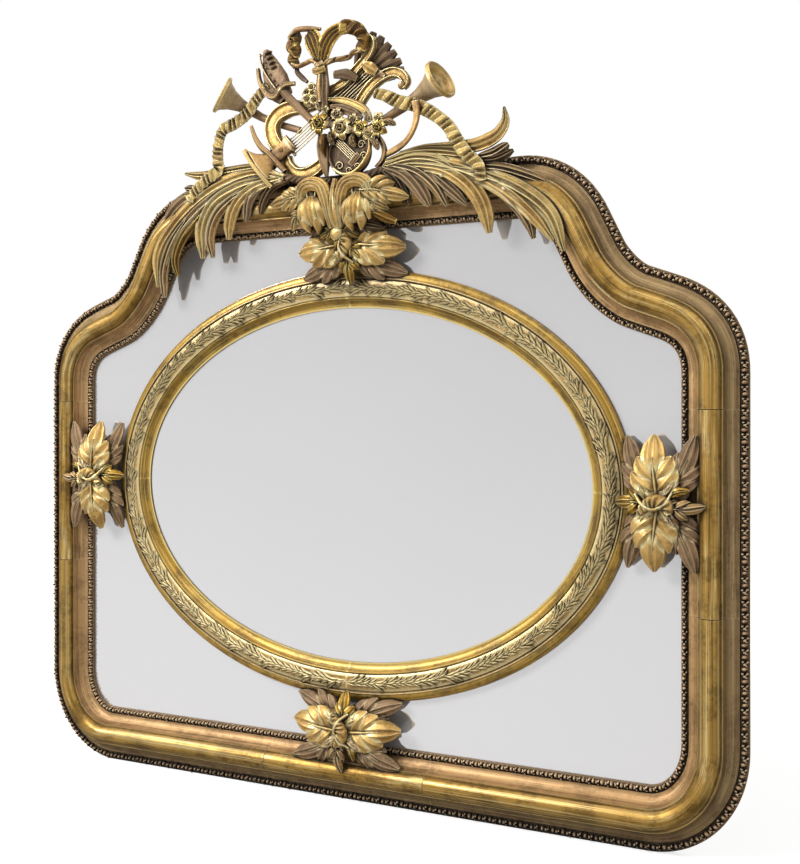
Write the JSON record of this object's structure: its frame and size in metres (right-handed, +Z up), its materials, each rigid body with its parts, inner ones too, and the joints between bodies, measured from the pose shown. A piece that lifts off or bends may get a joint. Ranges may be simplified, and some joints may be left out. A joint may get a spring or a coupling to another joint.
{
  "type": "trumeau mirror",
  "caption": "Gilt overmantel mirror with a moulded, shouldered frame, an oval inner frame, leaf clasps and a carved trophy of music on top.",
  "frame": {"origin": "the middle of the bottom rail's flat back face", "axes": "+X to the right seen from the front, +Z up, +Y out of the back towards the wall, so the front faces -Y"},
  "size_m": [1.412, 0.1176, 1.417],
  "materials": {
    "frame_gilding": "burnished gilding on the half round, matt taupe wash in the coves, worn",
    "bead_gilding": "matt gilding, dark in the recesses",
    "oval_gilding": "bright burnished gilding",
    "laurel_gilding": "pale worn gilding on carved relief",
    "carved_gilding": "pale gilding with dark recesses",
    "worn_gilding": "gilding worn down to a grey-brown ground",
    "mirror_glass": "clear silvered glass",
    "back_wood": "bare old pine",
    "hanger_steel": "dull steel"
  },
  "bodies": {
    "mirror": {"bottom_rail": "frame_gilding", "bottom_right_corner": "frame_gilding", "right_stile": "frame_gilding", "right_shoulder": "frame_gilding", "top_rail": "frame_gilding", "left_shoulder": "frame_gilding", "left_stile": "frame_gilding", "bottom_left_corner": "frame_gilding", "bottom_inner_bead": "bead_gilding", "bottom_outer_bead": "bead_gilding", "right_inner_bead": "bead_gilding", "right_outer_bead": "bead_gilding", "top_inner_bead": "bead_gilding", "top_outer_bead": "bead_gilding", "left_inner_bead": "bead_gilding", "left_outer_bead": "bead_gilding", "upper_right_oval_frame": "oval_gilding", "upper_right_laurel_band": "laurel_gilding", "upper_left_oval_frame": "oval_gilding", "upper_left_laurel_band": "laurel_gilding", "lower_left_oval_frame": "oval_gilding", "lower_left_laurel_band": "laurel_gilding", "lower_right_oval_frame": "oval_gilding", "lower_right_laurel_band": "laurel_gilding", "oval_glass": "mirror_glass", "upper_right_glass": "mirror_glass", "upper_left_glass": "mirror_glass", "lower_left_glass": "mirror_glass", "lower_right_glass": "mirror_glass", "left_back_board": "back_wood", "right_back_board": "back_wood", "top_clasp": "carved_gilding", "bottom_clasp": "carved_gilding", "left_clasp": "carved_gilding", "right_clasp": "carved_gilding", "mandolin_body": "worn_gilding", "ribbon_bow": "carved_gilding", "lyre": "oval_gilding", "lyre_strings": "worn_gilding", "quiver": "worn_gilding", "acanthus_scroll": "carved_gilding", "rose_garland": "carved_gilding", "left_trumpet": "worn_gilding", "right_trumpet": "worn_gilding", "mandolin_head": "worn_gilding", "shell": "worn_gilding", "left_ribbon": "carved_gilding", "right_ribbon": "carved_gilding", "left_palm": "carved_gilding", "right_palm": "carved_gilding", "crest_brace": "back_wood", "left_hanger_strap": "hanger_steel", "left_hanger_screw_1": "hanger_steel", "left_hanger_screw_2": "hanger_steel", "right_hanger_strap": "hanger_steel", "right_hanger_screw_1": "hanger_steel", "right_hanger_screw_2": "hanger_steel"},
    "left_ring": {"left_hanger_ring": "hanger_steel"},
    "right_ring": {"right_hanger_ring": "hanger_steel"}
  },
  "joints": [
    {"name": "left_ring_swing", "type": "hinge", "parent": "mirror", "child": "left_ring", "pos_m": [-0.65525, 0.0043, 0.64], "axis": [1, 0, 0], "range_deg": [0, 180]},
    {"name": "right_ring_swing", "type": "hinge", "parent": "mirror", "child": "right_ring", "pos_m": [0.65525, 0.0043, 0.64], "axis": [1, 0, 0], "range_deg": [0, 180]}
  ]
}
